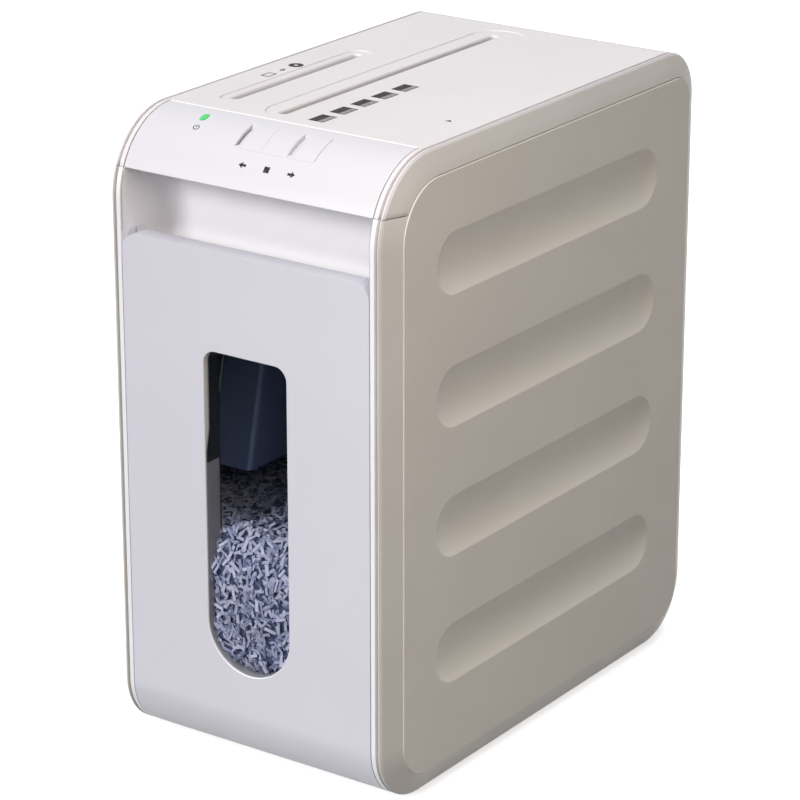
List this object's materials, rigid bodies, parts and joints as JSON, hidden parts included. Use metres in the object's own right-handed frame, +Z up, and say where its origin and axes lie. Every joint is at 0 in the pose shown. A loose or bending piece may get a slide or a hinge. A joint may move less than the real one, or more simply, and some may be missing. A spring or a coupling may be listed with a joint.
{
  "type": "paper shredder",
  "caption": "Deskside cross-cut paper shredder: cutting head with paper and disc slots over a pull-out bin with a window.",
  "frame": {"origin": "on the floor, below the middle of the body", "axes": "+Z up, -Y out of the drawer front, +X to the right of someone facing the drawer"},
  "size_m": [0.208, 0.345, 0.404],
  "materials": {
    "side_plastic": "fine-grained moulded ABS, satin",
    "frame_plastic": "moulded ABS, satin",
    "cover_plastic": "moulded ABS, semi-gloss",
    "strip_plastic": "painted ABS, glossy white",
    "front_plastic": "painted ABS, satin pearl",
    "inner_plastic": "unpainted polypropylene",
    "dark_plastic": "moulded, matt black",
    "navy_plastic": "moulded polypropylene, satin",
    "window_smoke": "clear polycarbonate, light smoke",
    "led_green": "translucent light pipe",
    "rubber_black": "matt",
    "screw_steel": "zinc plated",
    "plate_steel": "galvanised sheet",
    "cutter_steel": "hardened, oiled",
    "gear_steel": "sintered steel",
    "gear_nylon": "glass-filled nylon",
    "bush_bronze": "sintered bronze",
    "rotor_copper": "laminations and enamelled wire",
    "magnet_grey": "ferrite",
    "board_green": "solder mask",
    "paper_shreds": "loose cut paper"
  },
  "bodies": {
    "case": {"left_side_panel": "side_plastic", "right_side_panel": "side_plastic", "left_side_frame": "frame_plastic", "right_side_frame": "frame_plastic", "rear_panel": "frame_plastic", "base_plate": "frame_plastic", "top_cover": "cover_plastic", "paper_slot_guide": "cover_plastic", "disc_slot_guide": "cover_plastic", "control_strip": "strip_plastic", "hand_recess": "front_plastic", "head_tray": "inner_plastic", "drawer_rails": "inner_plastic", "gear_case": "dark_plastic", "motor_end_cap": "dark_plastic", "left_comb": "dark_plastic", "right_comb": "dark_plastic", "disc_comb": "dark_plastic", "cord_gland": "dark_plastic", "paper_sensor": "dark_plastic", "bin_switch": "dark_plastic", "key_switches": "dark_plastic", "motor_brushes": "dark_plastic", "led_lens": "led_green", "rubber_feet": "rubber_black", "case_screws": "screw_steel", "motor_screws": "screw_steel", "tie_rods": "screw_steel", "reduction_axle": "screw_steel", "front_chassis_plate": "plate_steel", "rear_chassis_plate": "plate_steel", "motor_can": "plate_steel", "shaft_bushes": "bush_bronze", "motor_magnets": "magnet_grey", "key_board": "board_green", "control_board": "board_green"},
    "drawer": {"drawer_front": "front_plastic", "window_pane": "window_smoke", "bin_tub": "dark_plastic", "drawer_screws": "screw_steel", "shredded_paper": "paper_shreds", "disc_scrap_box": "navy_plastic", "bin_magnet": "magnet_grey"},
    "reverse_key": {"reverse_key": "strip_plastic"},
    "stop_key": {"stop_key": "strip_plastic"},
    "forward_key": {"forward_key": "strip_plastic"},
    "motor": {"motor_rotor": "rotor_copper", "motor_pinion": "gear_steel", "motor_fan": "dark_plastic"},
    "reduction": {"reduction_gear": "gear_nylon"},
    "right_cutter": {"right_cutter_discs": "cutter_steel", "right_cutter_shaft": "cutter_steel", "right_sync_gear": "gear_steel", "output_gear": "gear_steel"},
    "left_cutter": {"left_cutter_discs": "cutter_steel", "left_cutter_shaft": "cutter_steel", "left_sync_gear": "gear_steel"},
    "disc_cutter": {"disc_cutter_discs": "cutter_steel", "disc_cutter_shaft": "cutter_steel", "disc_sync_gear": "gear_steel"}
  },
  "joints": [
    {"name": "drawer_slide", "type": "slide", "parent": "case", "child": "drawer", "axis": [0, -1, 0], "range_m": [0, 0.29]},
    {"name": "reverse_key_press", "type": "slide", "parent": "case", "child": "reverse_key", "axis": [0, 0.4305, -0.9026], "range_m": [0, 0.0015], "stiffness_N_per_m": 500, "springref_m": -0.0006},
    {"name": "stop_key_press", "type": "slide", "parent": "case", "child": "stop_key", "axis": [0, 0.4305, -0.9026], "range_m": [0, 0.0015], "stiffness_N_per_m": 500, "springref_m": -0.0006},
    {"name": "forward_key_press", "type": "slide", "parent": "case", "child": "forward_key", "axis": [0, 0.4305, -0.9026], "range_m": [0, 0.0015], "stiffness_N_per_m": 500, "springref_m": -0.0006},
    {"name": "motor_spin", "type": "hinge", "parent": "case", "child": "motor", "pos_m": [0.052, 0.006, 0.322], "axis": [0, 1, 0], "continuous": true},
    {"name": "reduction_spin", "type": "hinge", "parent": "case", "child": "reduction", "pos_m": [0.02779, 0.006, 0.33972], "axis": [0, 1, 0], "continuous": true},
    {"name": "right_cutter_spin", "type": "hinge", "parent": "case", "child": "right_cutter", "pos_m": [-0.004, 0.006, 0.322], "axis": [0, 1, 0], "continuous": true},
    {"name": "left_cutter_spin", "type": "hinge", "parent": "case", "child": "left_cutter", "pos_m": [-0.034, 0.006, 0.322], "axis": [0, 1, 0], "continuous": true},
    {"name": "disc_cutter_spin", "type": "hinge", "parent": "case", "child": "disc_cutter", "pos_m": [-0.064, 0.006, 0.322], "axis": [0, 1, 0], "continuous": true}
  ],
  "couplings": [
    {"joint": "reduction_spin", "follows": "motor_spin", "ratio": -0.25},
    {"joint": "right_cutter_spin", "follows": "motor_spin", "ratio": 0.083333},
    {"joint": "left_cutter_spin", "follows": "motor_spin", "ratio": -0.083333},
    {"joint": "disc_cutter_spin", "follows": "motor_spin", "ratio": 0.083333}
  ]
}
